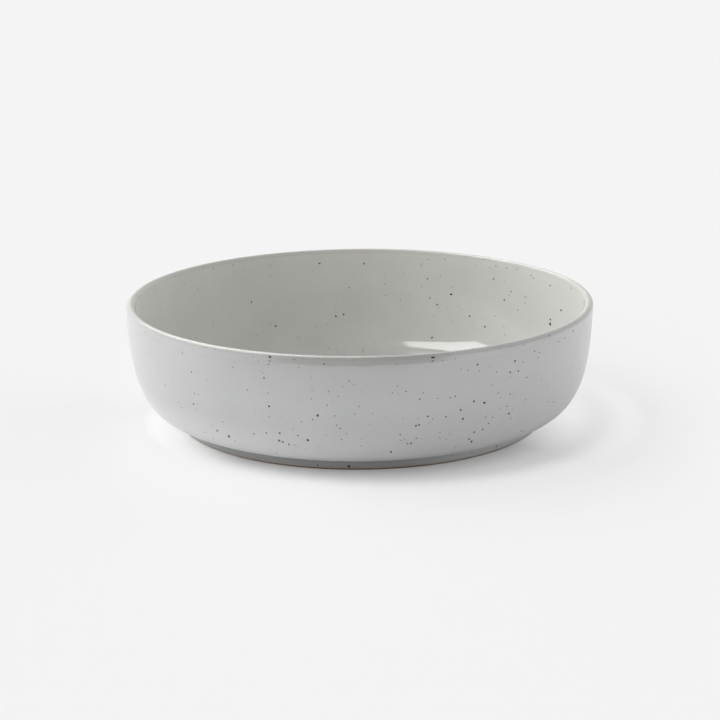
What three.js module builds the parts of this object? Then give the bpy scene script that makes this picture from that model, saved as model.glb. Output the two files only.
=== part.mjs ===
import * as THREE from 'three';

// A wheel-thrown stoneware serving bowl: a clay wall and base, a clay foot ring under it, and three
// coats of glaze fired onto them. Millimetres, +Z up, origin at the middle of the foot, on the table.

// Driving sizes of the whole bowl.
const rimDiameter = 240;
const bowlHeight = 63;

// The foot ring, and how high it lifts the base.
const footDiameter = 189;
const footHeight = 4.1;
const footWidth = 6;
const footBevel = 0.5;
const footFillet = 1.2;
const insideFillet = 0.8;
const bareEdge = 0.7;

// The clay.
const wallThickness = 3.1;
const baseThickness = 4.4;

// The outer wall: it leaves the foot almost level, turns up through the belly and ends almost upright.
const bellyRise = 2;
const bellyRun = 13;
const wallLean = 1.2;
const wallRun = 42;

// The inner wall: a level floor that turns up into the same lean.
const floorDiameter = 176;
const floorRun = 15;
const innerRun = 38;

// The glaze. The liner coat wraps the lip and laps over the top of the outer coat.
const glazeThickness = 0.45;
const lapThickness = 0.2;
const lapWidth = 3.2;
const glazeRoll = 0.4;

// How finely the round forms are cut.
const turnSegments = 64;
const wallSteps = 9;
const lipSteps = 6;
const filletSteps = 3;

const point = (radius, height) => new THREE.Vector2(radius, height);
const radians = THREE.MathUtils.degToRad;

// The wall's upper end. along points up the wall, across points out through it.
const along = point(Math.sin(radians(wallLean)), Math.cos(radians(wallLean)));
const across = point(along.y, -along.x);
const lipRadius = (wallThickness + lapThickness) / 2 + glazeThickness;
const lipCentre = point(rimDiameter / 2 - lipRadius, bowlHeight - lipRadius);
const clayLipRadius = wallThickness / 2;
const clayLipCentre = lipCentre.clone().addScaledVector(across, -lapThickness / 2);

// The foot's outer face, and the hollow curve that joins it to the belly.
const footRadius = footDiameter / 2;
const footClayRadius = footRadius - glazeThickness;
const footInnerRadius = footClayRadius - footWidth;
const filletCentre = point(footRadius + footFillet, footHeight);
const floorHeight = footHeight + baseThickness;

// A length on the wall's upper end, measured from the centre of the clay lip.
function onWallTop(outwards, down) {
  return clayLipCentre.clone().addScaledVector(across, outwards).addScaledVector(along, -down);
}

// Points on an arc, from one angle to another, in degrees.
function arcPoints(centre, radius, fromAngle, toAngle, steps) {
  const points = [];
  for (let i = 0; i <= steps; i += 1) {
    const angle = radians(fromAngle + ((toAngle - fromAngle) * i) / steps);
    points.push(point(centre.x + radius * Math.cos(angle), centre.y + radius * Math.sin(angle)));
  }
  return points;
}

// Points beside a curve, offset to its left by the distance given.
function pointsBeside(curve, distance) {
  const points = [];
  for (let i = 0; i <= wallSteps; i += 1) {
    const place = curve.getPoint(i / wallSteps);
    const direction = curve.getTangent(i / wallSteps);
    points.push(point(place.x - direction.y * distance, place.y + direction.x * distance));
  }
  return points;
}

// The outer wall's curve, on the face of the outer glaze, from the foot's fillet to the lap line.
function outerWallCurve() {
  const rise = radians(bellyRise);
  const start = point(filletCentre.x - footFillet * Math.sin(rise), filletCentre.y + footFillet * Math.cos(rise));
  const end = onWallTop(clayLipRadius + glazeThickness, lapWidth);
  const leaving = point(start.x + bellyRun * Math.cos(rise), start.y + bellyRun * Math.sin(rise));
  const arriving = end.clone().addScaledVector(along, -wallRun);
  return new THREE.CubicBezierCurve(start, leaving, arriving, end);
}

// The inner wall's curve, on the clay, from the floor up to the lip.
function innerWallCurve() {
  const start = point(floorDiameter / 2, floorHeight);
  const end = onWallTop(-clayLipRadius, 0);
  const leaving = point(start.x + floorRun, start.y);
  const arriving = end.clone().addScaledVector(along, -innerRun);
  return new THREE.CubicBezierCurve(start, leaving, arriving, end);
}

// The four faces that the pieces share or show. Each runs from the bottom up.
const outerCurve = outerWallCurve();
const innerCurve = innerWallCurve();
const outerAngles = [180, 90 + bellyRise];

const outerGlazeFace = [
  ...arcPoints(filletCentre, footFillet, ...outerAngles, filletSteps),
  ...pointsBeside(outerCurve, 0).slice(1),
  onWallTop(clayLipRadius + glazeThickness, 0),
];
const outerClayFace = [
  ...arcPoints(filletCentre, footFillet + glazeThickness, ...outerAngles, filletSteps),
  ...pointsBeside(outerCurve, glazeThickness).slice(1),
  onWallTop(clayLipRadius, 0),
];
const innerClayFace = pointsBeside(innerCurve, 0);
const linerFace = pointsBeside(innerCurve, glazeThickness);

// Half a turn over a lip, from its inner side to its outer side, without the two end points.
function lipArc(centre, radius) {
  return arcPoints(centre, radius, 180 - wallLean, -wallLean, lipSteps).slice(1, -1);
}

// Turns a closed outline about the upright axis. Each facet is two triangles, which LatheGeometry lists
// as corners a, b, d and c, d, b. Where the outline runs downwards they are split along the other
// diagonal, so two pieces that share a face meet on the same triangles.
function revolve(outline) {
  const shape = new THREE.LatheGeometry(outline, turnSegments);
  const corners = shape.index;
  const perFacet = 6;
  for (let first = 0; first < corners.count; first += perFacet) {
    const step = (first / perFacet) % (outline.length - 1);
    if (outline[step + 1].y < outline[step].y) {
      corners.setX(first + 2, corners.getX(first + 3));
      corners.setX(first + 5, corners.getX(first));
    }
  }
  shape.rotateX(Math.PI / 2);
  return shape;
}

// The thrown clay: base, wall and rounded lip, in one piece.
function clayBody() {
  return revolve([
    point(0, footHeight),
    ...outerClayFace,
    ...lipArc(clayLipCentre, clayLipRadius).reverse(),
    ...innerClayFace.toReversed(),
    point(0, floorHeight),
  ]);
}

// The clay ring under the base. Its lower edges are bevelled and its underside is ground flat.
function footRing() {
  const outline = [
    point(footInnerRadius, footHeight),
    point(footInnerRadius, footBevel),
    point(footInnerRadius + footBevel, 0),
    point(footClayRadius - footBevel, 0),
    point(footClayRadius, footBevel),
    point(footClayRadius, footHeight),
    point(footInnerRadius, footHeight),
  ];
  return revolve(outline);
}

// The outer coat: down the wall and the foot's outer face, ending above the bare edge.
function outerGlaze() {
  const start = point(footClayRadius, bareEdge);
  return revolve([
    start,
    point(footRadius, bareEdge + glazeRoll),
    ...outerGlazeFace,
    ...outerClayFace.toReversed(),
    start,
  ]);
}

// The liner coat: over the floor and the inner wall, round the lip and down over the outer coat.
function linerGlaze() {
  const outside = clayLipRadius + glazeThickness;
  return revolve([
    point(0, floorHeight),
    ...innerClayFace,
    ...lipArc(clayLipCentre, clayLipRadius),
    onWallTop(clayLipRadius, 0),
    onWallTop(outside, 0),
    onWallTop(outside, lapWidth),
    onWallTop(outside + lapThickness, lapWidth - lapThickness),
    onWallTop(outside + lapThickness, 0),
    ...lipArc(lipCentre, lipRadius).reverse(),
    ...linerFace.toReversed(),
    point(0, floorHeight + glazeThickness),
  ]);
}

// The coat under the base: inside the foot ring and down its inner face.
function baseGlaze() {
  const glazedRadius = footInnerRadius - glazeThickness;
  const glazedHeight = footHeight - glazeThickness;
  const corner = point(glazedRadius - insideFillet, glazedHeight - insideFillet);
  return revolve([
    point(0, glazedHeight),
    ...arcPoints(corner, insideFillet, 90, 0, filletSteps),
    point(glazedRadius, bareEdge + glazeRoll),
    point(footInnerRadius, bareEdge),
    point(footInnerRadius, footHeight),
    point(0, footHeight),
  ]);
}

function finish(color, roughness) {
  return new THREE.MeshStandardMaterial({ color, roughness, metalness: 0 });
}

const bowl = new THREE.Group();

function add(name, shape, material) {
  const mesh = new THREE.Mesh(shape, material);
  mesh.name = name;
  bowl.add(mesh);
}

add('clay_body', clayBody(), finish(0x8d735c, 0.9));
add('foot_ring', footRing(), finish(0x8d735c, 0.9));
add('outer_glaze', outerGlaze(), finish(0xc0c0bf, 0.45));
add('liner_glaze', linerGlaze(), finish(0xcfcdc3, 0.25));
add('base_glaze', baseGlaze(), finish(0xc0c0bf, 0.45));

export default bowl;
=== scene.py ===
import math

import bpy
from mathutils import Matrix, Vector
from mathutils.bvhtree import BVHTree


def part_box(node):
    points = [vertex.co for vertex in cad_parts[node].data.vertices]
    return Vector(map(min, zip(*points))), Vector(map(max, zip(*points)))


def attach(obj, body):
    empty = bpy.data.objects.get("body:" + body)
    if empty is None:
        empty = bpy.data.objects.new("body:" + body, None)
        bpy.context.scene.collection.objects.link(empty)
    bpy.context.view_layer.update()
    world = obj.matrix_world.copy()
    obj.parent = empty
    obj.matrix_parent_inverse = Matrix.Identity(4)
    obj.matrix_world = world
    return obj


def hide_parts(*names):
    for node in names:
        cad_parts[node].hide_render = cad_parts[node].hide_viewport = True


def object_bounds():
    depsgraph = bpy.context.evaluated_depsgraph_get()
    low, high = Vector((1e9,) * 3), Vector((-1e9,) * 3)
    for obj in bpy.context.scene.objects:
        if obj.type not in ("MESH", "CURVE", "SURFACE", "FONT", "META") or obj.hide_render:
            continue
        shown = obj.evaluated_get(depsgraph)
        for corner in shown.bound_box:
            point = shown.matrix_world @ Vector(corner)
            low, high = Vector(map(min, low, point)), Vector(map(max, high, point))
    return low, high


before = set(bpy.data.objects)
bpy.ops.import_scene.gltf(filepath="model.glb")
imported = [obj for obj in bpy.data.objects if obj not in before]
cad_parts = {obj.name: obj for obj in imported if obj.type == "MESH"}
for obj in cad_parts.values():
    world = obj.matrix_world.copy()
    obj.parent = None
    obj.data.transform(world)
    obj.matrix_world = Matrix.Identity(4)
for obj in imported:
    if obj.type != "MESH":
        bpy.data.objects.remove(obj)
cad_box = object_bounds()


# The camera stands a little over a metre away and looks down on the bowl from about fifteen degrees
# through a long lens, as in the photograph, with half a degree of tilt and nothing out of focus.
mm = 0.001
rim_radius = cad_box[1].x
camera_distance = 9 * rim_radius
camera_elevation = math.radians(15.21)
camera_tilt = math.radians(-0.46)
camera_aim = Vector((-0.1 * mm, 0, 29.2 * mm))
photo_width = 720
focal_length_in_pixels = 2074
sensor_width = 36

lens = bpy.data.cameras.new("studio_camera")
lens.sensor_width = sensor_width
lens.lens = focal_length_in_pixels * sensor_width / photo_width
camera = bpy.data.objects.new("studio_camera", lens)
towards_camera = Vector((0, -math.cos(camera_elevation), math.sin(camera_elevation)))
camera.matrix_world = (
    Matrix.Translation(camera_aim + camera_distance * towards_camera)
    @ Matrix.Rotation(math.pi / 2 - camera_elevation, 4, "X")
    @ Matrix.Rotation(camera_tilt, 4, "Z")
)
bpy.context.scene.collection.objects.link(camera)
bpy.context.scene.camera = camera
bpy.context.scene.view_settings.view_transform = "Standard"


# The studio's light: a bright low backdrop behind the bowl, a broad light on the left, a weaker one on
# the right and next to none from the camera's side. A soft box hangs overhead on the left, a little
# behind the bowl. Each part has its strength as light, then its strength as the glaze mirrors it.
light_all_round = 0.18, 0.4
light_from_left = 2.05, 0.7
light_from_right = 0.85, 0.3
backdrop_glow = 5.0, 0.6
backdrop_falloff = 2
box_glow = 0.5, 6.4
box_left, box_right, box_slant = -0.95, -0.22, 0.13
box_near, box_far = 0.02, 1.7
backdrop_white = 0.887
light_below = 0.9


def feed(tree, node, inputs):
    """Gives each input of a node its value, or a link from another node's output."""
    for name, value in inputs.items():
        if isinstance(value, bpy.types.NodeSocket):
            tree.links.new(value, node.inputs[name])
        else:
            node.inputs[name].default_value = value


def put(tree, kind, inputs=None, **settings):
    """Adds a node, with its settings and its inputs."""
    made = tree.nodes.new(kind)
    for name, value in settings.items():
        setattr(made, name, value)
    feed(tree, made, inputs or {})
    return made


def reckon(tree, operation, *values):
    """One step of arithmetic in a node tree, on values or on other nodes' outputs."""
    return put(tree, "ShaderNodeMath", dict(enumerate(values)), operation=operation).outputs[0]


def times(tree, first, *others):
    """Two values or more, multiplied."""
    for other in others:
        first = reckon(tree, "MULTIPLY", first, other)
    return first


def between(tree, share, first, second):
    """A value between two others: the first at a share of 0, the second at 1."""
    return put(tree, "ShaderNodeMix", {0: share, 2: first, 3: second}).outputs[0]


def parts_of(tree, vector):
    """A vector's three parts."""
    return put(tree, "ShaderNodeSeparateXYZ", {0: vector}).outputs


def studio_world():
    world = bpy.data.worlds.new("studio_light")
    world.use_nodes = True
    tree = world.node_tree
    rays = put(tree, "ShaderNodeLightPath").outputs

    def strength_of(glow):
        return between(tree, rays["Is Glossy Ray"], *glow)

    across, away, up = parts_of(tree, put(tree, "ShaderNodeTexCoord").outputs["Generated"])
    light = strength_of(light_all_round)
    for glow, sign in ((light_from_left, -1), (light_from_right, 1)):
        facing = reckon(tree, "MAXIMUM", times(tree, across, sign), 0)
        light = reckon(tree, "MULTIPLY_ADD", facing, strength_of(glow), light)
    # The backdrop is brightest where it meets the floor.
    lowness = reckon(tree, "SUBTRACT", 1, reckon(tree, "MAXIMUM", up, 0))
    lowness = reckon(tree, "POWER", lowness, backdrop_falloff)
    behind = times(tree, reckon(tree, "MAXIMUM", away, 0), lowness)
    light = reckon(tree, "MULTIPLY_ADD", behind, strength_of(backdrop_glow), light)
    # The soft box, bounded where its edges fall on a level plane one unit above the bowl.
    over_x, over_y = reckon(tree, "DIVIDE", across, up), reckon(tree, "DIVIDE", away, up)
    slanted = reckon(tree, "SUBTRACT", over_x, times(tree, over_y, box_slant))
    inside = reckon(tree, "GREATER_THAN", up, 0)
    for side, place, edge in (
        ("GREATER_THAN", over_x, box_left), ("LESS_THAN", slanted, box_right),
        ("GREATER_THAN", over_y, box_near), ("LESS_THAN", over_y, box_far),
    ):
        inside = times(tree, inside, reckon(tree, side, place, edge))
    light = reckon(tree, "MULTIPLY_ADD", inside, strength_of(box_glow), light)
    # Under the floor the light is plain. It reaches the bowl only when it is looked at from below.
    light = between(tree, reckon(tree, "LESS_THAN", up, 0), light, light_below)
    # What the camera sees past the floor's edge is as white as the floor.
    strength = between(tree, rays["Is Camera Ray"], light, backdrop_white)
    feed(tree, tree.nodes["Background"], {"Color": (1, 1, 1, 1), "Strength": strength})
    return world


bpy.context.scene.world = studio_world()


# The floor: one plain sheet of pale matt paper, with a see-through underside so that the foot can be
# looked at from below. Painted light lies on it that only the camera sees: round the bowl a glow makes
# the paper lighter than its own shade, so that the bowl's shadow stays close under the belly.
floor_reach = 8
paper_shade = 0.83
paper_shade_for_bounces = 0.97
exposed_to_white = 0.324
exposed_from, exposed_reach = 112 * mm, 75 * mm
exposed_side = (0.5, -0.87, 0)
exposed_slope, exposed_beside = 0.75, 0.42
contact_radius, contact_shift = 114 * mm, 18 * mm
contact_softness, contact_share = 10 * mm, 0.33
under_belly_from = 97 * mm

# The left end, then the right one: its sign, where its painted light starts and is full as the place
# turns to that side, how far out it reaches, and its strength.
under_belly_ends = (-1, 0.62, 0.95, 114 * mm, 0.28), (1, 0.8, 1, 150 * mm, 0.32)


def ramp(tree, value, start, end, least=0, most=1, kind="LINEAR"):
    """The least up to the start and the most from the end on, with a slope between them."""
    inputs = {"Value": value, "From Min": start, "From Max": end, "To Min": least, "To Max": most}
    return put(tree, "ShaderNodeMapRange", inputs, interpolation_type=kind).outputs[0]


def on_vectors(tree, operation, *vectors, answer="Vector"):
    """One step on vectors in a node tree."""
    inputs = dict(enumerate(vectors))
    return put(tree, "ShaderNodeVectorMath", inputs, operation=operation).outputs[answer]


def painted_floor_light(tree):
    """The painted light that the camera alone sees on the paper: less far out and at the foot."""
    place = put(tree, "ShaderNodeNewGeometry").outputs["Position"]
    away = on_vectors(tree, "LENGTH", place, answer="Value")
    beyond = reckon(tree, "MAXIMUM", reckon(tree, "SUBTRACT", away, exposed_from), 0)
    fade = reckon(tree, "EXPONENT", reckon(tree, "DIVIDE", beyond, -exposed_reach))
    # The dark round the foot reaches out further on the right than on the left.
    sideways = reckon(tree, "DIVIDE", parts_of(tree, place)["X"], away)
    contact_edge = reckon(tree, "MULTIPLY_ADD", sideways, contact_shift, contact_radius)
    past = reckon(tree, "SUBTRACT", away, contact_edge)
    contact = ramp(tree, past, -contact_softness, contact_softness, contact_share, kind="SMOOTHSTEP")
    # The side away from the lamps gets the most painted light.
    facing = on_vectors(tree, "DOT_PRODUCT", place, exposed_side, answer="Value")
    facing = reckon(tree, "DIVIDE", facing, away)
    side = reckon(tree, "MULTIPLY_ADD", facing, exposed_slope, exposed_beside)
    lighter = times(tree, fade, contact, ramp(tree, side, 0, 1), exposed_to_white)
    # At both ends painted light reaches in under the belly, as far as the foot.
    for sign, start, full, under_belly_to, strength in under_belly_ends:
        under = ramp(tree, away, under_belly_to, under_belly_from)
        facing = ramp(tree, times(tree, sideways, sign), start, full, 0, strength)
        lighter = reckon(tree, "MULTIPLY_ADD", facing, under, lighter)
    return lighter


def studio_floor():
    corners = [(x * floor_reach, y * floor_reach, 0) for x, y in ((-1, -1), (1, -1), (1, 1), (-1, 1))]
    sheet = bpy.data.meshes.new("studio_floor")
    sheet.from_pydata(corners, [], [(0, 1, 2, 3)])
    paper = bpy.data.materials.new("pale_paper")
    paper.use_nodes = True
    tree = paper.node_tree
    shader = tree.nodes["Principled BSDF"]
    rays = put(tree, "ShaderNodeLightPath").outputs
    seen = rays["Is Camera Ray"]
    shade = between(tree, seen, paper_shade_for_bounces, paper_shade)
    feed(tree, shader, {"Base Color": shade, "Roughness": 1, "Specular IOR Level": 0})
    # Painted light on the paper: a glow that only the camera sees.
    lighter = times(tree, painted_floor_light(tree), seen)
    glow = put(tree, "ShaderNodeEmission", {"Color": (1, 1, 1, 1), "Strength": lighter}).outputs[0]
    paper_front = put(tree, "ShaderNodeAddShader", {0: shader.outputs[0], 1: glow}).outputs[0]
    # Looked at from below, the sheet is clear, and so is what a line passes after it.
    behind = put(tree, "ShaderNodeNewGeometry").outputs["Backfacing"]
    passed = reckon(tree, "GREATER_THAN", rays["Transparent Depth"], 0.5)
    from_below = reckon(tree, "MAXIMUM", behind, passed)
    clear = put(tree, "ShaderNodeBsdfTransparent").outputs[0]
    mixed = put(tree, "ShaderNodeMixShader", {0: from_below, 1: paper_front, 2: clear}).outputs[0]
    feed(tree, tree.nodes["Material Output"], {"Surface": mixed})
    sheet.materials.append(paper)
    floor = bpy.data.objects.new("studio_floor", sheet)
    bpy.context.scene.collection.objects.link(floor)


studio_floor()


# The clay body: base, belly, wall and rounded lip, thrown in one piece from brown stoneware clay and
# left a little out of true by hand. The glaze coats cover all of it.
bowl_height = cad_box[1].z
wall_thickness = 3.1 * mm
wall_lean = math.radians(1.2)
wall_run = 42 * mm
belly_rise = math.radians(7)
belly_run = 13 * mm
foot_fillet = 1.2 * mm
floor_radius = 88 * mm
floor_run = 15 * mm
inner_run = 38 * mm
glaze_thickness = 0.45 * mm
lap_thickness = 0.2 * mm
lap_width = 3.2 * mm
steps_round = 256
wall_steps = 40
lip_steps = 18
fillet_steps = 6
seam_weld = 0.002 * mm

# How far the wall is out of true, and how many waves a metre holds: along it and along a coat's edge.
hand_wobble = 0.3 * mm
wobble_waves = 11
edge_waves = 55

clay_shades = (0.12, 0.062, 0.036, 1), (0.21, 0.125, 0.078, 1)
iron_grain_shade, iron_grain_range = (0.035, 0.02, 0.014, 1), (0.6, 0.7)
grog_shade, grog_range = (0.34, 0.25, 0.18, 1), (0.36, 0.28)
clay_cloud, clay_grit = 60, 1400
grit_height = 0.08 * mm
clay_roughness = 0.9

foot_clay_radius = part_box("foot_ring")[1].x
foot_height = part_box("foot_ring")[1].z
foot_radius = foot_clay_radius + glaze_thickness
floor_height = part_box("liner_glaze")[0].z

along = Vector((math.sin(wall_lean), math.cos(wall_lean)))
across = Vector((along.y, -along.x))
lip_radius = (wall_thickness + lap_thickness) / 2 + glaze_thickness
lip_centre = Vector((rim_radius - lip_radius, bowl_height - lip_radius))
clay_lip_radius = wall_thickness / 2
clay_lip_centre = lip_centre - across * lap_thickness / 2


def on_wall_top(outwards, down):
    """A place on the wall's upper end, as (radius, height), from the centre of the clay lip."""
    return clay_lip_centre + across * outwards - along * down


def arc(centre, radius, first, last, steps):
    """Places on an arc, from one angle to another in degrees."""
    turns = [math.radians(first + (last - first) * i / steps) for i in range(steps + 1)]
    return [Vector((centre[0] + radius * math.cos(t), centre[1] + radius * math.sin(t))) for t in turns]


def wall_curve(knots, beside=0):
    """Places on a cubic curve with these four knots, or beside it on its left."""
    a, b, c, d = knots
    places = []
    for i in range(wall_steps + 1):
        t = i / wall_steps
        place = a * (1 - t) ** 3 + b * 3 * t * (1 - t) ** 2 + c * 3 * t ** 2 * (1 - t) + d * t ** 3
        run = (b - a) * (1 - t) ** 2 + (c - b) * 2 * t * (1 - t) + (d - c) * t ** 2
        run.normalize()
        places.append(place + beside * Vector((-run.y, run.x)))
    return places


def outer_knots():
    """The outer wall, on the face of the glaze, from the foot's fillet to the lap's edge."""
    leaving = Vector((math.cos(belly_rise), math.sin(belly_rise)))
    start = Vector((foot_radius + foot_fillet, foot_height)) + foot_fillet * Vector((-leaving.y, leaving.x))
    end = on_wall_top(clay_lip_radius + glaze_thickness, lap_width)
    return start, start + leaving * belly_run, end - along * wall_run, end


def inner_knots():
    """The inner wall, on the clay, from the level floor to the lip."""
    start = Vector((floor_radius, floor_height))
    end = on_wall_top(-clay_lip_radius, 0)
    return start, start + Vector((floor_run, 0)), end - along * inner_run, end


def foot_curve(beside=0):
    """The hollow fillet where the foot meets the belly."""
    centre = (foot_radius + foot_fillet, foot_height)
    return arc(centre, foot_fillet + beside, 180, 90 + math.degrees(belly_rise), fillet_steps)


outer_clay_face = (
    foot_curve(glaze_thickness)
    + wall_curve(outer_knots(), glaze_thickness)[1:]
    + [on_wall_top(clay_lip_radius, 0)]
)
inner_clay_face = wall_curve(inner_knots())
lean = math.degrees(wall_lean)
clay_lip = arc(clay_lip_centre, clay_lip_radius, 180 - lean, -lean, lip_steps)

# What an outline's points can carry: seen on the face that shows, lap where one coat lies over another,
# thin where a coat breaks thin over an edge, foot on the foot's own face, and wander where the edge of
# a coat strays up and down.
marks = ("seen", "lap", "thin", "foot", "wander")


def stretch(places, **carried):
    """A run of an outline's points, all with the same marks."""
    return [(place, carried) for place in places]


def outline_mesh(name, outline):
    """The outline as a line of edges in the plane of x and z, ready to be turned."""
    line = bpy.data.meshes.new(name)
    steps = [(i, i + 1) for i in range(len(outline) - 1)]
    line.from_pydata([(place[0], 0, place[1]) for place, carried in outline], steps, [])
    for mark in marks:
        values = line.attributes.new(mark, "FLOAT", "POINT").data
        values.foreach_set("value", [carried.get(mark, 0) for place, carried in outline])
    return line


def new_tree(name, kind, inputs, output):
    """A node tree with its named inputs and its output, and what its inputs give."""
    tree = bpy.data.node_groups.new(name, kind)
    for label, socket in inputs.items():
        tree.interface.new_socket(name=label, in_out="INPUT", socket_type="NodeSocket" + socket)
    label, socket = output
    tree.interface.new_socket(name=label, in_out="OUTPUT", socket_type="NodeSocket" + socket)
    return tree, put(tree, "NodeGroupInput").outputs


def carried_by(tree, mark):
    """A mark that the points of a mesh carry."""
    return put(tree, "GeometryNodeInputNamedAttribute", {"Name": mark}, data_type="FLOAT").outputs[0]


def marked(tree, mesh, mark, value):
    """The same mesh, with a mark on its points."""
    inputs = {"Geometry": mesh, "Name": mark, "Value": value}
    made = put(tree, "GeometryNodeStoreNamedAttribute", inputs, data_type="FLOAT", domain="POINT")
    return made.outputs[0]


def mottle(tree, place, per_metre, detail):
    """A cloudy value from 0 to 1, with so many clouds to the metre."""
    inputs = {"Vector": place, "Scale": per_metre, "Detail": detail}
    return put(tree, "ShaderNodeTexNoise", inputs).outputs["Fac"]


def straying(tree, place, per_metre, detail, reach):
    """A cloudy value that strays to both sides of 0, by up to half its reach."""
    aside = reckon(tree, "SUBTRACT", mottle(tree, place, per_metre, detail), 0.5)
    return times(tree, aside, reach)


def push(tree, place, per_metre, detail, reach):
    """A push in any direction, much the same for places that are close together."""
    inputs = {"Vector": place, "Scale": per_metre, "Detail": detail}
    way = put(tree, "ShaderNodeTexNoise", inputs).outputs["Color"]
    way = on_vectors(tree, "SUBTRACT", way, (0.5, 0.5, 0.5))
    return put(tree, "ShaderNodeVectorMath", {0: way, "Scale": reach}, operation="SCALE").outputs[0]


def hand_finished(tree, mesh, finish):
    """The tree's last steps: smooth faces, real geometry and the material."""
    smooth = put(tree, "GeometryNodeSetShadeSmooth", {"Geometry": mesh}).outputs[0]
    real = put(tree, "GeometryNodeRealizeInstances", {"Geometry": smooth}).outputs[0]
    finished = put(tree, "GeometryNodeSetMaterial", {"Geometry": real, "Material": finish}).outputs[0]
    put(tree, "NodeGroupOutput", {"Geometry": finished})


def turning_tree():
    """Turns an outline about the upright axis, a little out of true, and closes its seam and poles."""
    tree, given = new_tree("turned_on_the_wheel", "GeometryNodeTree", {
        "Outline": "Geometry", "Steps round": "Int", "Hand wobble": "Float", "Edge wander": "Float",
        "Edge dip": "Float", "Height": "Float", "Finish": "Material",
    }, ("Geometry", "Geometry"))
    rows = put(tree, "GeometryNodeAttributeDomainSize", {0: given["Outline"]}).outputs["Point Count"]
    columns = reckon(tree, "ADD", given["Steps round"], 1)
    grid = put(tree, "GeometryNodeMeshGrid", {"Vertices X": rows, "Vertices Y": columns}).outputs["Mesh"]
    index = put(tree, "GeometryNodeInputIndex").outputs[0]
    row = reckon(tree, "FLOOR", reckon(tree, "DIVIDE", reckon(tree, "ADD", index, 0.5), columns))
    column = reckon(tree, "SUBTRACT", index, times(tree, row, columns))
    turn = times(tree, reckon(tree, "DIVIDE", column, given["Steps round"]), math.tau)

    def from_outline(value, data_type):
        inputs = {"Geometry": given["Outline"], "Value": value, "Index": row}
        return put(tree, "GeometryNodeSampleIndex", inputs, data_type=data_type).outputs[0]

    carried = {mark: from_outline(carried_by(tree, mark), "FLOAT") for mark in marks}
    place = from_outline(put(tree, "GeometryNodeInputPosition").outputs[0], "FLOAT_VECTOR")
    turned_about = put(
        tree, "ShaderNodeVectorRotate", {"Vector": place, "Angle": turn}, rotation_type="Z_AXIS"
    ).outputs[0]
    sideways, _, height = parts_of(tree, turned_about)

    # The edge of a coat strays a little up and down. It sits lower at both sides of the bowl.
    stray = straying(tree, turned_about, edge_waves, 2, given["Edge wander"])
    sideways = reckon(tree, "DIVIDE", reckon(tree, "ABSOLUTE", sideways), foot_radius)
    dip = times(tree, sideways, given["Edge dip"])
    lift = times(tree, reckon(tree, "SUBTRACT", stray, dip), carried["wander"])
    strayed = put(tree, "ShaderNodeCombineXYZ", {"Z": lift}).outputs[0]

    # The wall strays more, the higher it is above the foot.
    share = ramp(tree, height, foot_height, given["Height"], kind="SMOOTHSTEP")
    wobble_reach = times(tree, share, given["Hand wobble"])
    wobble = push(tree, turned_about, wobble_waves, 0, wobble_reach)

    offset = on_vectors(tree, "ADD", strayed, wobble)
    inputs = {"Geometry": grid, "Position": turned_about, "Offset": offset}
    formed = put(tree, "GeometryNodeSetPosition", inputs).outputs[0]
    for mark in marks:
        formed = marked(tree, formed, mark, carried[mark])
    closed = put(tree, "GeometryNodeMergeByDistance", {"Geometry": formed, "Distance": seam_weld})
    hand_finished(tree, closed.outputs[0], given["Finish"])
    return tree


def made_by(tree, name, start, sizes):
    """An object whose mesh is what a tree makes from the mesh it starts with, and with no modifier left."""
    piece = bpy.data.objects.new(name, start)
    bpy.context.scene.collection.objects.link(piece)
    modifier = piece.modifiers.new(tree.name, "NODES")
    modifier.node_group = tree
    for socket in tree.interface.items_tree:
        if socket.in_out == "INPUT" and socket.name in sizes:
            modifier[socket.identifier] = sizes[socket.name]
    depsgraph = bpy.context.evaluated_depsgraph_get()
    made = bpy.data.meshes.new_from_object(piece.evaluated_get(depsgraph), depsgraph=depsgraph)
    piece.modifiers.remove(modifier)
    piece.data = made
    made.name = name
    bpy.data.meshes.remove(start)
    return piece


wheel = turning_tree()


def turned(name, outline, finish, edge_wander=0, edge_dip=0):
    """A piece turned from its outline."""
    return made_by(wheel, name, outline_mesh(name + "_outline", outline), {
        "Steps round": steps_round,
        "Hand wobble": hand_wobble,
        "Edge wander": edge_wander,
        "Edge dip": edge_dip,
        "Height": bowl_height,
        "Finish": finish,
    })


def blend_of(tree, share, first, second):
    """Two colours blended in a node tree."""
    return put(tree, "ShaderNodeMix", {0: share, 6: first, 7: second}, data_type="RGBA").outputs[2]


def new_finish(name):
    """A material, its tree, its shader and the object's own coordinates."""
    finish = bpy.data.materials.new(name)
    finish.use_nodes = True
    tree = finish.node_tree
    place = put(tree, "ShaderNodeTexCoord").outputs["Object"]
    return finish, tree, tree.nodes["Principled BSDF"], place


def relief(tree, height, distance, strength):
    """The normal of a surface whose height varies over it."""
    inputs = {"Height": height, "Distance": distance, "Strength": strength}
    return put(tree, "ShaderNodeBump", inputs).outputs[0]


def bare_clay():
    """Fired stoneware with no glaze: brown, gritty and matt, with paler grog and dark iron grains."""
    finish, tree, shader, place = new_finish("bare_clay")
    colour = blend_of(tree, mottle(tree, place, clay_cloud, 4), *clay_shades)
    grit = mottle(tree, place, clay_grit, 3)
    colour = blend_of(tree, ramp(tree, grit, *iron_grain_range), colour, iron_grain_shade)
    colour = blend_of(tree, ramp(tree, grit, *grog_range), colour, grog_shade)
    normal = relief(tree, grit, grit_height, 0.6)
    feed(tree, shader, {"Base Color": colour, "Roughness": clay_roughness, "Normal": normal})
    return finish


clay = bare_clay()
clay_outline = (
    stretch([Vector((0, foot_height))])
    + stretch(outer_clay_face)
    + stretch(reversed(clay_lip[1:-1]))
    + stretch(reversed(inner_clay_face))
    + stretch([Vector((0, floor_height))])
)
body = turned("thrown_body", clay_outline, clay)
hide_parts("clay_body")
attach(body, "root")


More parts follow.
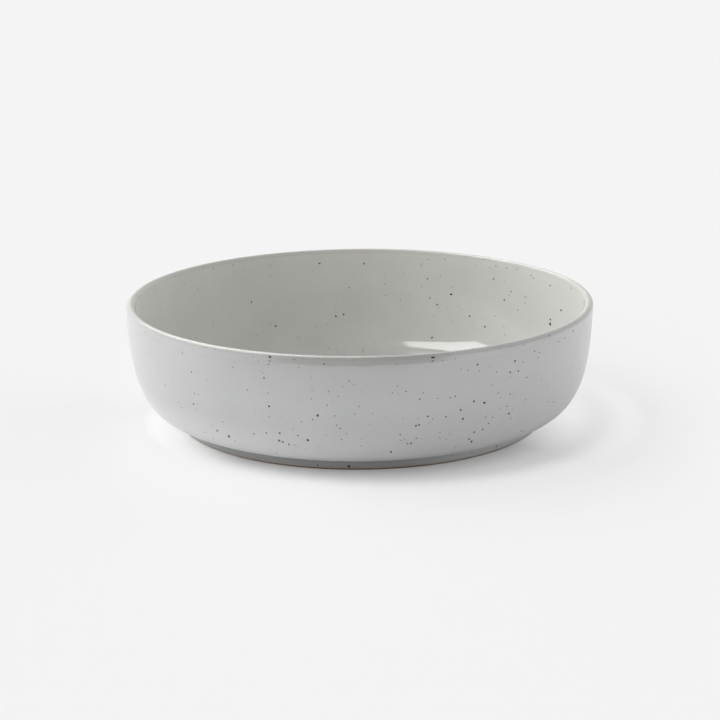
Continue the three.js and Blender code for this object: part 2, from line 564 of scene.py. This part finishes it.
# The foot ring: a coil of the same clay slipped under the base, trimmed on the wheel with soft bevels
# and ground flat underneath. Its lowest edge stays bare and shows as a thin brown line.
foot_inner_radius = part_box("base_glaze")[1].x
foot_bevel = 0.5 * mm
bevel_steps = 4


def foot_ring():
    inside, outside = foot_inner_radius, foot_clay_radius
    outline = (
        stretch([Vector((inside, foot_height))])
        + stretch(arc((inside + foot_bevel, foot_bevel), foot_bevel, 180, 270, bevel_steps))
        + stretch(arc((outside - foot_bevel, foot_bevel), foot_bevel, 270, 360, bevel_steps))
        + stretch([Vector((outside, foot_height)), Vector((inside, foot_height))])
    )
    ring = turned("trimmed_foot", outline, clay)
    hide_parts("foot_ring")
    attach(ring, "root")


foot_ring()


# The outer coat: a satin, cool grey glaze over the wall, the fillet and the outside of the foot. It
# was sponged off above the foot's edge, where it ends in a soft roll.
bare_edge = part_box("outer_glaze")[0].z
roll_steps = 5
thin_reach = 0.35 * mm
sponged_wander, sponged_dip = 0.5 * mm, 0.35 * mm
grey_shades = (0.455, 0.46, 0.462, 1), (0.505, 0.505, 0.505, 1)
# The foot's face in painted shade under the belly: a lighter shade at the sides, a darker one at the front
# and the back.
foot_painted_shades = (0.49, 0.49, 0.488, 1), (0.29, 0.295, 0.29, 1)
lap_shade = (0.325, 0.333, 0.318, 1)
lap_run_from, lap_run_to = bowl_height - 4 * mm, bowl_height - 24 * mm
lap_run_strength = 0.36
# Painted light low on the belly: a lighter glaze shade that stands in for light bounced up from the floor.
painted_bounce_shade = (0.61, 0.613, 0.61, 1)
painted_bounce_from, painted_bounce_to = 28 * mm, 8 * mm
roll_shade, roll_strength = (0.3, 0.23, 0.17, 1), 0.6
satin_roughness = 0.28, 0.38
satin_skin, satin_height = 450, 0.03 * mm
wheel_lines = (12, 12, 420)
glaze_cloud, glaze_grain = 45, 1800

# The sides of the bowl where a tone shows: the direction, and how squarely a place has to face it, or
# the opposite one, for the tone to start and to be full.
# Where the painted shade on the foot's face is darkest.
foot_painted_shade_side = (-0.309, -0.951, 0), 0.6, 0.95
lap_run_side = (-0.16, -0.987, 0), 0.84, 0.99
# Where the painted bounce light low on the belly is strongest.
painted_bounce_side = (-0.755, -0.656, 0), 0.36, 0.95

# The fine iron: how many cells there are to the metre, the share of them with a grain, and its size in
# a cell, for the grains that lie buried and for those at the surface. Then how strongly each shows.
buried_iron, buried_iron_shade = (290, 0.5, 0.28), (0.2, 0.19, 0.165, 1)
surface_iron, surface_iron_shade = (480, 0.22, 0.22), (0.1, 0.075, 0.05, 1)
iron_shown = {"Buried": 0.2, "Surface": 0.7}


def freckled(tree, place, cells_per_metre, share, size):
    """A mask of small round marks: one in some of the cells, no two alike in size."""
    cells = put(tree, "ShaderNodeTexVoronoi", {"Vector": place, "Scale": cells_per_metre}).outputs
    chance, spread, _ = put(tree, "ShaderNodeSeparateColor", {0: cells["Color"]}).outputs
    reach = times(tree, spread, spread, size)
    mark = ramp(tree, reckon(tree, "SUBTRACT", reach, cells["Distance"]), 0, size * 0.3)
    return times(tree, mark, reckon(tree, "LESS_THAN", chance, share))


def facing_side(tree, place, side):
    """How squarely a place on the bowl faces a level direction: 1 towards it and -1 away from it."""
    level = on_vectors(tree, "NORMALIZE", on_vectors(tree, "MULTIPLY", place, (1, 1, 0)))
    return on_vectors(tree, "DOT_PRODUCT", level, side, answer="Value")


def turned_towards(tree, place, side, start, full):
    """From 0 to 1, the more squarely a place on the bowl faces a side or the opposite one."""
    facing = reckon(tree, "ABSOLUTE", facing_side(tree, place, side))
    return ramp(tree, facing, start, full, kind="SMOOTHSTEP")


def fine_iron_group():
    """Adds the fine iron to a glaze's colour: buried grains that show grey, and a few at the surface."""
    inputs = {"Place": "Vector", "Glaze": "Color", "Buried": "Float", "Surface": "Float"}
    tree, given = new_tree("fine_iron", "ShaderNodeTree", inputs, ("Colour", "Color"))
    buried = times(tree, freckled(tree, given["Place"], *buried_iron), given["Buried"])
    colour = blend_of(tree, buried, given["Glaze"], buried_iron_shade)
    surface = times(tree, freckled(tree, given["Place"], *surface_iron), given["Surface"])
    put(tree, "NodeGroupOutput", {"Colour": blend_of(tree, surface, colour, surface_iron_shade)})
    return tree


def glaze_depth_group():
    """The uneven depth of a fired glaze: a soft cloudiness with a fine grain in it."""
    inputs = {"Place": "Vector", "Cloud": "Float", "Grain": "Float"}
    tree, given = new_tree("glaze_depth", "ShaderNodeTree", inputs, ("Depth", "Float"))
    cloud = straying(tree, given["Place"], glaze_cloud, 5, given["Cloud"])
    grain = straying(tree, given["Place"], glaze_grain, 2, given["Grain"])
    depth = reckon(tree, "ADD", 0.5, reckon(tree, "ADD", cloud, grain))
    put(tree, "NodeGroupOutput", {"Depth": depth})
    return tree


def lap_run_group():
    """Darkens a glaze where the lap has run on down the wall in a thin veil, at the front and the back."""
    inputs = {"Place": "Vector", "Glaze": "Color"}
    tree, given = new_tree("lap_run", "ShaderNodeTree", inputs, ("Colour", "Color"))
    height = parts_of(tree, given["Place"])["Z"]
    run = ramp(tree, height, lap_run_to, lap_run_from, 0, lap_run_strength)
    run = times(tree, run, turned_towards(tree, given["Place"], *lap_run_side))
    put(tree, "NodeGroupOutput", {"Colour": blend_of(tree, run, given["Glaze"], lap_shade)})
    return tree


fine_iron = fine_iron_group()
glaze_depth = glaze_depth_group()
lap_run = lap_run_group()


def group_in(tree, group, inputs):
    """A node group placed in a tree, with its own values. Returns its only output."""
    return put(tree, "ShaderNodeGroup", inputs, node_tree=group).outputs[0]


def mark_on(tree, mark):
    """A mark that the turned piece carries."""
    return put(tree, "ShaderNodeAttribute", attribute_name=mark).outputs["Fac"]


def satin_grey():
    finish, tree, shader, place = new_finish("satin_grey_glaze")
    depth = group_in(tree, glaze_depth, {"Place": place, "Cloud": 1.2, "Grain": 0.6})
    colour = blend_of(tree, depth, *grey_shades)
    colour = group_in(tree, lap_run, {"Place": place, "Glaze": colour})
    # Low on the belly, painted light where light from the floor bounces up: lighter, more on two opposite
    # sides.
    painted_bounce = ramp(tree, parts_of(tree, place)["Z"], painted_bounce_from, painted_bounce_to)
    painted_bounce = times(tree, painted_bounce, turned_towards(tree, place, *painted_bounce_side))
    colour = blend_of(tree, painted_bounce, colour, painted_bounce_shade)
    # On the foot's face, painted shade where the belly overhangs it: darker, most of all at the front and
    # the back.
    dark = turned_towards(tree, place, *foot_painted_shade_side)
    colour = blend_of(tree, mark_on(tree, "foot"), colour, blend_of(tree, dark, *foot_painted_shades))
    colour = blend_of(tree, mark_on(tree, "thin"), colour, roll_shade)
    colour = group_in(tree, fine_iron, {"Place": place, "Glaze": colour, **iron_shown})
    lines = put(tree, "ShaderNodeMapping", {"Vector": place, "Scale": wheel_lines}).outputs[0]
    height = reckon(tree, "ADD", mottle(tree, place, satin_skin, 2), mottle(tree, lines, 1, 2))
    feed(tree, shader, {
        "Base Color": colour,
        "Roughness": ramp(tree, depth, 0, 1, *satin_roughness),
        "Normal": relief(tree, height, satin_height, 0.5),
    })
    return finish


grey_glaze = satin_grey()
outer_glaze_face = wall_curve(outer_knots())[1:] + [on_wall_top(clay_lip_radius + glaze_thickness, 0)]


def outer_coat():
    roll = arc((foot_clay_radius, bare_edge + glaze_thickness), glaze_thickness, 270, 360, roll_steps)
    outline = (
        stretch(roll, thin=roll_strength, foot=1, wander=1)
        + stretch([roll[-1] + Vector((0, thin_reach))], seen=1, foot=1)
        + stretch(foot_curve(), seen=1, foot=1)
        + stretch(outer_glaze_face, seen=1)
        + stretch(reversed(outer_clay_face))
        + stretch([roll[0]], thin=1, wander=1)
    )
    coat = turned("outer_coat", outline, grey_glaze, edge_wander=sponged_wander, edge_dip=sponged_dip)
    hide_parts("outer_glaze")
    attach(coat, "root")
    return coat


outside = outer_coat()


# The liner coat: a glossy, warm grey-white glaze over the floor, the inner wall and the lip. The bowl
# was dipped rim down after lining, so it laps a few millimetres over the outer coat in a darker band,
# which runs down furthest at the front and the back and thins away round both sides.
lap_radius = clay_lip_radius + glaze_thickness
lap_edge_steps = 3
lap_wander = 0.8 * mm
white_shades = (0.57, 0.567, 0.535, 1), (0.625, 0.623, 0.6, 1)
liner_roughness, lip_roughness, outer_roughness = 0.1, 0.45, 0.3
liner_skin, liner_height = 70, 0.1 * mm
lip_thin_shade, lip_thin_strength = (0.44, 0.43, 0.4, 1), 0.75
lip_thin_from, lip_thin_to = bowl_height - 2.5 * mm, bowl_height - 0.8 * mm
lap_side = (0, -1, 0), 0.914, 0.985

# The lines round the lip stray up and down by so much, with so many waves to the metre. A line has its
# height, its share of the straying and its softness.
line_stray, line_waves = 1.7 * mm, 130
lip_shade_line = bowl_height - 1.8 * mm, 0.5, 0.7 * mm
lap_line = bowl_height - 4 * mm, 1, 1 * mm

# Painted highlight and shade round the lip: the white ends lower on the left, standing in for the left
# light's reflection, and the dark under it is stronger on the right, a painted shade away from that
# light: where each change starts and ends across the bowl, and its value there.
lip_painted_highlight_change = -0.7 * rim_radius, 0.4 * rim_radius, bowl_height - 1.05 * mm, bowl_height - 0.1 * mm
lip_line_share, lip_line_softness = 0.2, 0.2 * mm
lip_shade = (0.375, 0.385, 0.36, 1)
lip_painted_shade_change = -0.4 * rim_radius, 0.5 * rim_radius, 0.2, 0.6

# The lap is dotted with iron: cells to the metre, share of them with a dot and its size in a cell.
lap_dots, lap_dots_strength = (900, 0.3, 0.36), 0.45
lap_dots_shade = (0.1, 0.085, 0.06, 1)


def glossy_white():
    finish, tree, shader, place = new_finish("warm_white_glaze")
    depth = group_in(tree, glaze_depth, {"Place": place, "Cloud": 1.4, "Grain": 0.5})
    across_bowl, _, height = parts_of(tree, place)
    stray = straying(tree, place, line_waves, 3, line_stray)

    def above(line, share, softness):
        """One above a line round the lip and nought below it, with a soft edge."""
        edge = reckon(tree, "MULTIPLY_ADD", stray, share, line)
        over = reckon(tree, "DIVIDE", reckon(tree, "SUBTRACT", height, edge), softness)
        return ramp(tree, over, -0.5, 0.5)

    # The white shows as far as the lip's line, and past it the outer coat. The line lies lower on the left,
    # a painted highlight.
    lip_line = ramp(tree, across_bowl, *lip_painted_highlight_change)
    past_lip = reckon(tree, "SUBTRACT", 1, above(lip_line, lip_line_share, lip_line_softness))
    outer = times(tree, mark_on(tree, "lap"), past_lip)
    # The glaze has drawn thin over the lip: darker there, and less glossy.
    thin = ramp(tree, height, lip_thin_from, lip_thin_to, 0, lip_thin_strength)
    white = blend_of(tree, thin, blend_of(tree, depth, *white_shades), lip_thin_shade)
    grey = group_in(tree, lap_run, {"Place": place, "Glaze": blend_of(tree, depth, *grey_shades)})
    colour = blend_of(tree, outer, white, grey)
    # Where the two coats lie over each other they show darker: right under the lip, and down to the lap's
    # own line where the lap is thick. Under the lip painted shade adds to it, more on the right than on
    # the left.
    under_lip = ramp(tree, across_bowl, *lip_painted_shade_change)
    under_lip = times(tree, under_lip, above(*lip_shade_line), outer)
    colour = blend_of(tree, under_lip, colour, lip_shade)
    thick = turned_towards(tree, place, *lap_side)
    lap = times(tree, thick, above(*lap_line), outer)
    colour = blend_of(tree, lap, colour, lap_shade)
    dots = times(tree, lap, freckled(tree, place, *lap_dots), lap_dots_strength)
    colour = blend_of(tree, dots, colour, lap_dots_shade)
    colour = group_in(tree, fine_iron, {"Place": place, "Glaze": colour, **iron_shown})
    rough = ramp(tree, thin, 0, 1, liner_roughness, lip_roughness)
    feed(tree, shader, {
        "Base Color": colour,
        "Roughness": between(tree, outer, rough, outer_roughness),
        "Normal": relief(tree, mottle(tree, place, liner_skin, 2), liner_height, 0.3),
    })
    return finish


def liner_coat():
    lip = arc(lip_centre, lip_radius, -lean, 180 - lean, lip_steps)
    outer_lip, inner_lip = lip[: lip_steps // 2], lip[lip_steps // 2:]
    edge = on_wall_top(lap_radius, lap_width - lap_thickness)
    lap_edge = arc(edge, lap_thickness, -90 - lean, -lean, lap_edge_steps)
    outline = (
        stretch([Vector((0, floor_height))])
        + stretch(inner_clay_face)
        + stretch(clay_lip[1:-1])
        + stretch([on_wall_top(clay_lip_radius, 0), on_wall_top(lap_radius, 0)])
        + stretch(lap_edge, seen=1, lap=1, wander=1)
        + stretch(outer_lip, seen=1, lap=1)
        + stretch(inner_lip, seen=1)
        + stretch(reversed(wall_curve(inner_knots(), glaze_thickness)[:-1]), seen=1)
        + stretch([Vector((0, floor_height + glaze_thickness))], seen=1)
    )
    coat = turned("liner_coat", outline, glossy_white(), edge_wander=lap_wander)
    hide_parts("liner_glaze")
    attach(coat, "root")
    return coat


inside = liner_coat()


# The base coat: the outer glaze again, poured into the recess under the base and down the inside of
# the foot ring, and sponged off above the edge that the bowl stands on.
inner_fillet = 0.8 * mm
base_wander = 0.8 * mm


def base_coat():
    face_radius = foot_inner_radius - glaze_thickness
    face_height = foot_height - glaze_thickness
    corner = (face_radius - inner_fillet, face_height - inner_fillet)
    roll = arc((foot_inner_radius, bare_edge + glaze_thickness), glaze_thickness, 180, 270, roll_steps)
    outline = (
        stretch([Vector((0, face_height))], seen=1)
        + stretch(arc(corner, inner_fillet, 90, 0, fillet_steps), seen=1)
        + stretch(roll, thin=roll_strength, wander=1)
        + stretch([Vector((foot_inner_radius, foot_height)), Vector((0, foot_height))])
    )
    coat = turned("base_coat", outline, grey_glaze, edge_wander=base_wander)
    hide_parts("base_glaze")
    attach(coat, "root")
    return coat


underneath = base_coat()


# The iron specks: grains of iron in the clay that melted up through the glaze into low brown and black
# spots, nearly flush with it. The ones that the photograph shows sit where it shows them, and the rest
# are strewn over the sides that it doesn't show, thicker in some places than in others.
speck_rise = 0.05 * mm
speck_sides = 10
speck_rings = 5
speck_smallest, speck_largest = 0.3 * mm, 1.5 * mm
speck_clouds, speck_cloud_range = 38, (0.38, 0.66)
speck_thinnest, speck_thickest = 0.25, 2
outline_waves, outline_pull = 1300, 0.7
iron_shades = (0.018, 0.016, 0.013, 1), (0.15, 0.098, 0.026, 1)
iron_rim_shade, iron_rim_strength = (0.13, 0.11, 0.075, 1), 0.4
iron_under_glaze = (0.37, 0.37, 0.355, 1)
iron_mottle, iron_mottle_strength = 2600, 0.8
iron_roughness = 0.32

# Where the photograph shows them: across and down in its pixels. The clear ones also have the width
# that the camera sees, in millimetres. The large ones have their height too, as a share of the width,
# and their tone, from black at 0 to olive brown at 1.
large_specks = (
    (432.8, 357, 2.1, 0.7, 0.15), (432.6, 360.5, 1.0, 1, 0.4), (269.9, 356.8, 1.75, 0.7, 0.1),
    (294.1, 359.5, 0.95, 1, 0.6), (348.8, 466.5, 1.7, 0.75, 0.1), (229, 436.4, 1.3, 1, 0.2),
    (317.7, 415.3, 1.2, 1.1, 0.7), (307.7, 440.1, 1.2, 0.9, 0.3), (279.2, 440.5, 1.3, 0.9, 0.2),
    (279.7, 433, 1.0, 0.9, 0.3), (484.4, 402.8, 1.2, 0.9, 0.2), (510.3, 372.1, 1.0, 1, 0.8),
    (416, 425.7, 1.0, 1, 0.8), (217.2, 430.6, 0.7, 2, 0.3), (263.9, 377.9, 0.8, 1.4, 0.8),
    (253.8, 433.9, 0.8, 1, 1), (390.9, 451.9, 1.1, 1, 0.5), (445.8, 416.9, 0.8, 1, 1),
    (193.4, 404, 0.8, 1, 0.9), (451.1, 294.5, 1.55, 1, 0.5), (550.1, 324.5, 1.4, 1.5, 0.1),
    (484.9, 327, 1.3, 1, 1), (432, 337.5, 1.2, 1, 1), (531.2, 275.4, 0.85, 1, 1),
    (495.9, 266, 0.85, 1, 0.8), (428.4, 259.2, 0.85, 1, 0.9),
)
clear_specks = (
    (419.6, 399.2, 0.8), (427.9, 416.4, 0.75), (419.1, 425, 0.7), (460.6, 410.1, 0.7), (462.7, 419, 0.85),
    (474, 401.3, 0.75), (477.5, 364.5, 0.75), (515, 361, 0.75), (518.3, 371.1, 0.65), (526.9, 377.4, 0.6),
    (534.5, 351.2, 0.65), (549, 335.6, 0.7), (558.4, 341.6, 0.6), (565, 338.3, 0.55), (397.2, 386.4, 0.55),
    (406, 391.5, 0.65), (392.4, 392.7, 0.55), (411, 443.4, 0.9), (407.5, 443.4, 0.6), (416.3, 438.3, 0.65),
    (469, 439, 0.8), (471.5, 441.6, 0.9), (488.7, 423.4, 0.6), (482.4, 429.6, 0.65), (474.3, 432.1, 0.7),
    (508.8, 413.7, 0.8), (507.1, 406.4, 0.55), (521, 430.8, 0.7), (523.9, 431, 0.55), (510.3, 394.2, 0.6),
    (353.6, 385, 0.55), (340, 428.6, 0.8), (341.6, 439.5, 0.65), (336.7, 425.1, 0.65), (312.7, 419.6, 0.65),
    (297.9, 435.5, 0.7), (324.3, 363.7, 0.85), (282.7, 442, 0.8), (288.7, 444.5, 0.7), (269.2, 406.3, 0.85),
    (266.2, 432.8, 0.6), (496.5, 446.2, 0.6), (450, 397.5, 0.55), (455.3, 396.3, 0.55), (400.2, 434.5, 0.55),
    (511.8, 346, 0.5), (523.7, 345, 0.5), (191.5, 372.1, 0.6), (182.1, 353.2, 0.55), (164.9, 385.1, 0.55),
    (317.6, 465.2, 0.8), (445, 258.9, 0.85), (484.3, 259, 0.8), (506.8, 268.1, 0.9), (533.5, 278.4, 0.75),
    (550.3, 285.7, 0.9), (571.3, 288, 0.75), (493.4, 278.9, 0.6), (427.4, 278.8, 0.8), (437.3, 304.6, 0.95),
    (429.7, 298, 0.75), (469.5, 316.4, 0.95), (504.3, 300.3, 0.85), (511, 291.4, 0.65), (561.1, 310.4, 0.95),
    (550.3, 319.6, 0.85),
)
small_specks = (
    (299, 367.2), (423, 393), (418.3, 419), (432.7, 419), (428.8, 423), (404, 439), (440, 432.5), (440, 438),
    (331, 466.4), (461.4, 368.5), (468, 370), (479.5, 371), (446.3, 354.5), (442.5, 360.5), (455.3, 358.3),
    (496.5, 372), (523, 362.5), (539.8, 352.5), (538, 357.3), (500.8, 397.8), (525.8, 399.5), (524.9, 403.8),
    (512.8, 409.8), (469.8, 435), (450, 434), (446, 439), (455.4, 447), (538.4, 427), (471.5, 453),
    (155.4, 332.6), (204.5, 347.3), (207.5, 347.6), (215.3, 349.3), (226.9, 350.8), (178.4, 402.2),
    (223, 422.1), (213.4, 438), (269.6, 416.7), (421.3, 287), (440.3, 275.6), (438.7, 307.9), (447.3, 308.1),
    (459.2, 306.8), (462.4, 309.6), (508.8, 295.3), (525.2, 303), (489.8, 267.3), (269.5, 265), (270, 276),
)
faint_specks = (
    (285, 360), (258.3, 361), (349, 381), (328.5, 391.4), (326.9, 405.3), (334.8, 415.9), (359.1, 406.3),
    (355, 414.1), (372.8, 413.4), (346.2, 433.7), (361.3, 446), (437.5, 398.5), (403, 418.3), (489.6, 366.5),
    (541.3, 380.5), (573, 378.7), (491.8, 384.8), (498.3, 393), (548, 402), (553.5, 402), (485.8, 417),
    (492.5, 417.5), (510.5, 418.5), (301, 460.7), (232.5, 367.3), (247.3, 389.9), (268.1, 393),
    (235.1, 440.5), (206.8, 379.5), (194.7, 393.3), (198.3, 394.4), (301.7, 421.5), (292.9, 429.2),
    (276.7, 453.1), (212.4, 425.8), (252.9, 356.6), (352.8, 360), (515.5, 269.3), (494.7, 315.9),
    (504.7, 334.8), (524.9, 297.2), (518, 310.1), (574.7, 317.4),
)
small_width, small_faintness = 0.5, 0.2
faint_width, faint_faintness = 0.65, 0.65


def glaze_under(*coats):
    """Finds the glaze along a line from the camera through a place in the photograph."""
    faces = []
    for coat in coats:
        corners = [vertex.co for vertex in coat.data.vertices]
        faces.append(BVHTree.FromPolygons(corners, [face.vertices for face in coat.data.polygons]))

    def found(across_photo, down_photo):
        """The place, and the share of a width and of a height there that the camera sees."""
        aside, below = across_photo - photo_width / 2, down_photo - photo_width / 2
        look = camera.matrix_world.to_3x3() @ Vector((aside, -below, -focal_length_in_pixels))
        look.normalize()
        hits = [face.ray_cast(camera.matrix_world.translation, look) for face in faces]
        place, normal, _, _ = min((hit for hit in hits if hit[0]), key=lambda hit: hit[3])
        level = Vector((-normal.y, normal.x, 0)).normalized()
        return place, look.cross(level).length, look.cross(normal.cross(level)).length

    return found


def chosen_specks(found):
    """A vertex for each speck that the photograph shows, with its width, height, tone and faintness."""
    read = [(*speck, 0) for speck in large_specks]
    smaller = [(*speck, 0) for speck in clear_specks]
    smaller += [(*speck, small_width, small_faintness) for speck in small_specks]
    smaller += [(*speck, faint_width, faint_faintness) for speck in faint_specks]
    for number, (x, y, width, faint) in enumerate(smaller):
        # No two of the smaller ones are quite alike.
        vary = math.sin(12.9 * number) * 0.5 + 0.5
        read.append((x, y, width * (1.02 + 0.18 * vary), 0.85 + 0.35 * vary, 0.7 * vary * vary, faint))
    places = []
    sizes = []
    for x, y, width, tall, tone, faint in read:
        place, wide_share, tall_share = found(x, y)
        places.append(place)
        sizes.append((width * mm / wide_share, tall * wide_share / tall_share, tone, faint))
    points = bpy.data.meshes.new("chosen_specks")
    points.from_pydata(places, [], [])
    for number, mark in enumerate(("wide", "tall", "tone", "faint")):
        values = points.attributes.new(mark, "FLOAT", "POINT").data
        values.foreach_set("value", [size[number] for size in sizes])
    return points


def speck_tree():
    """Strews specks over a glaze, adds the chosen ones, and gives each a low uneven blob of its own."""
    tree, given = new_tree("iron_specks", "GeometryNodeTree", {
        "Chosen": "Geometry", "Glaze": "Object", "Specks per square metre": "Float", "Smallest": "Float",
        "Largest": "Float", "Bare side": "Vector", "Bare share": "Float", "Seed": "Int",
        "Finish": "Material",
    }, ("Geometry", "Geometry"))
    glaze = put(tree, "GeometryNodeObjectInfo", {"Object": given["Glaze"]}, transform_space="RELATIVE")
    glaze = glaze.outputs["Geometry"]
    here = put(tree, "GeometryNodeInputPosition").outputs[0]
    cloud = mottle(tree, here, speck_clouds, 2)
    thickly = ramp(tree, cloud, *speck_cloud_range, speck_thinnest, speck_thickest)
    strewn = put(tree, "GeometryNodeDistributePointsOnFaces", {
        "Mesh": glaze,
        "Selection": reckon(tree, "GREATER_THAN", carried_by(tree, "seen"), 0.99),
        "Density": times(tree, thickly, given["Specks per square metre"]),
        "Seed": given["Seed"],
    }, distribute_method="RANDOM").outputs["Points"]

    def chance(low, high, number):
        inputs = {2: low, 3: high, "Seed": number}
        return put(tree, "FunctionNodeRandomValue", inputs, data_type="FLOAT").outputs[1]

    # Most are small: the width goes with the cube of a chance.
    span = reckon(tree, "SUBTRACT", given["Largest"], given["Smallest"])
    rare = reckon(tree, "POWER", chance(0.0, 1.0, 1), 3)
    sizes = {
        "wide": reckon(tree, "MULTIPLY_ADD", rare, span, given["Smallest"]),
        "tall": chance(0.8, 1.3, 2),
        "tone": reckon(tree, "POWER", chance(0.0, 1.0, 3), 2),
        "faint": times(tree, reckon(tree, "POWER", chance(0.0, 1.0, 4), 1.6), 0.75),
    }
    for mark, value in sizes.items():
        strewn = marked(tree, strewn, mark, value)
    bare = reckon(tree, "GREATER_THAN", facing_side(tree, here, given["Bare side"]), given["Bare share"])
    inputs = {"Geometry": strewn, "Selection": bare}
    strewn = put(tree, "GeometryNodeDeleteGeometry", inputs, domain="POINT").outputs[0]
    chosen = put(tree, "GeometryNodeMeshToPoints", {"Mesh": given["Chosen"]}).outputs[0]
    joined = tree.nodes.new("GeometryNodeJoinGeometry")
    tree.links.new(strewn, joined.inputs[0])
    tree.links.new(chosen, joined.inputs[0])

    def glaze_normal():
        normal = put(tree, "GeometryNodeInputNormal").outputs[0]
        inputs = {"Mesh": glaze, "Value": normal, "Sample Position": here}
        return put(tree, "GeometryNodeSampleNearestSurface", inputs, data_type="FLOAT_VECTOR").outputs[0]

    # Each speck lies flat on the glaze, with its height running up the wall.
    flat = put(tree, "FunctionNodeAlignRotationToVector", {"Vector": glaze_normal()}, axis="Z").outputs[0]
    inputs = {"Rotation": flat, "Vector": (0, 0, 1)}
    upright = put(tree, "FunctionNodeAlignRotationToVector", inputs, axis="Y", pivot_axis="Z").outputs[0]
    half = reckon(tree, "DIVIDE", carried_by(tree, "wide"), 2)
    half_height = times(tree, half, carried_by(tree, "tall"))
    size = put(tree, "ShaderNodeCombineXYZ", {"X": half, "Y": half_height, "Z": speck_rise}).outputs[0]
    inputs = {"Segments": speck_sides, "Rings": speck_rings, "Radius": 1}
    blob = put(tree, "GeometryNodeMeshUVSphere", inputs).outputs[0]
    level = on_vectors(tree, "MULTIPLY", here, (1, 1, 0))
    blob = marked(tree, blob, "edge", on_vectors(tree, "LENGTH", level, answer="Value"))
    specks = put(tree, "GeometryNodeInstanceOnPoints", {
        "Points": joined.outputs[0], "Instance": blob, "Rotation": upright, "Scale": size,
    }).outputs[0]
    real = put(tree, "GeometryNodeRealizeInstances", {"Geometry": specks}).outputs[0]

    # The outlines run uneven: every point is drawn aside by up to a third of the speck's width.
    pull = times(tree, carried_by(tree, "wide"), carried_by(tree, "edge"), outline_pull)
    drift = push(tree, here, outline_waves, 1, pull)
    sunk = on_vectors(tree, "PROJECT", drift, glaze_normal())
    drift = on_vectors(tree, "SUBTRACT", drift, sunk)
    uneven = put(tree, "GeometryNodeSetPosition", {"Geometry": real, "Offset": drift}).outputs[0]
    hand_finished(tree, uneven, given["Finish"])
    return tree


def melted_iron():
    """Black to olive brown iron glass. The fainter a speck, the more of the glaze lies over it."""
    finish, tree, shader, place = new_finish("melted_iron")
    uneven = straying(tree, place, iron_mottle, 2, iron_mottle_strength)
    tone = ramp(tree, reckon(tree, "ADD", uneven, mark_on(tree, "tone")), 0, 1)
    rim = ramp(tree, mark_on(tree, "edge"), 0.6, 1, 0, iron_rim_strength)
    colour = blend_of(tree, rim, blend_of(tree, tone, *iron_shades), iron_rim_shade)
    colour = blend_of(tree, mark_on(tree, "faint"), colour, iron_under_glaze)
    feed(tree, shader, {"Base Color": colour, "Roughness": iron_roughness})
    return finish


iron = melted_iron()
strew = speck_tree()


def strewn_specks(name, coat, per_area, seed, bare_side=(0, 0, 0), bare_share=1.0, chosen=None):
    """A coat's specks, with none strewn on the side that the chosen ones take up."""
    start = chosen or bpy.data.meshes.new("none_chosen")
    specks = made_by(strew, name, start, {
        "Glaze": coat,
        "Specks per square metre": per_area,
        "Smallest": speck_smallest,
        "Largest": speck_largest,
        "Bare side": bare_side,
        "Bare share": bare_share,
        "Seed": seed,
        "Finish": iron,
    })
    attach(specks, "root")


by_eye = chosen_specks(glaze_under(outside, inside))
strewn_specks(
    "outer_specks", outside, per_area=6200, seed=4, bare_side=(0, -1, 0), bare_share=0.0, chosen=by_eye
)
strewn_specks("inner_specks", inside, per_area=5200, seed=9, bare_side=(0.8, 0.6, 0), bare_share=0.7)
strewn_specks("base_specks", underneath, per_area=4600, seed=2)
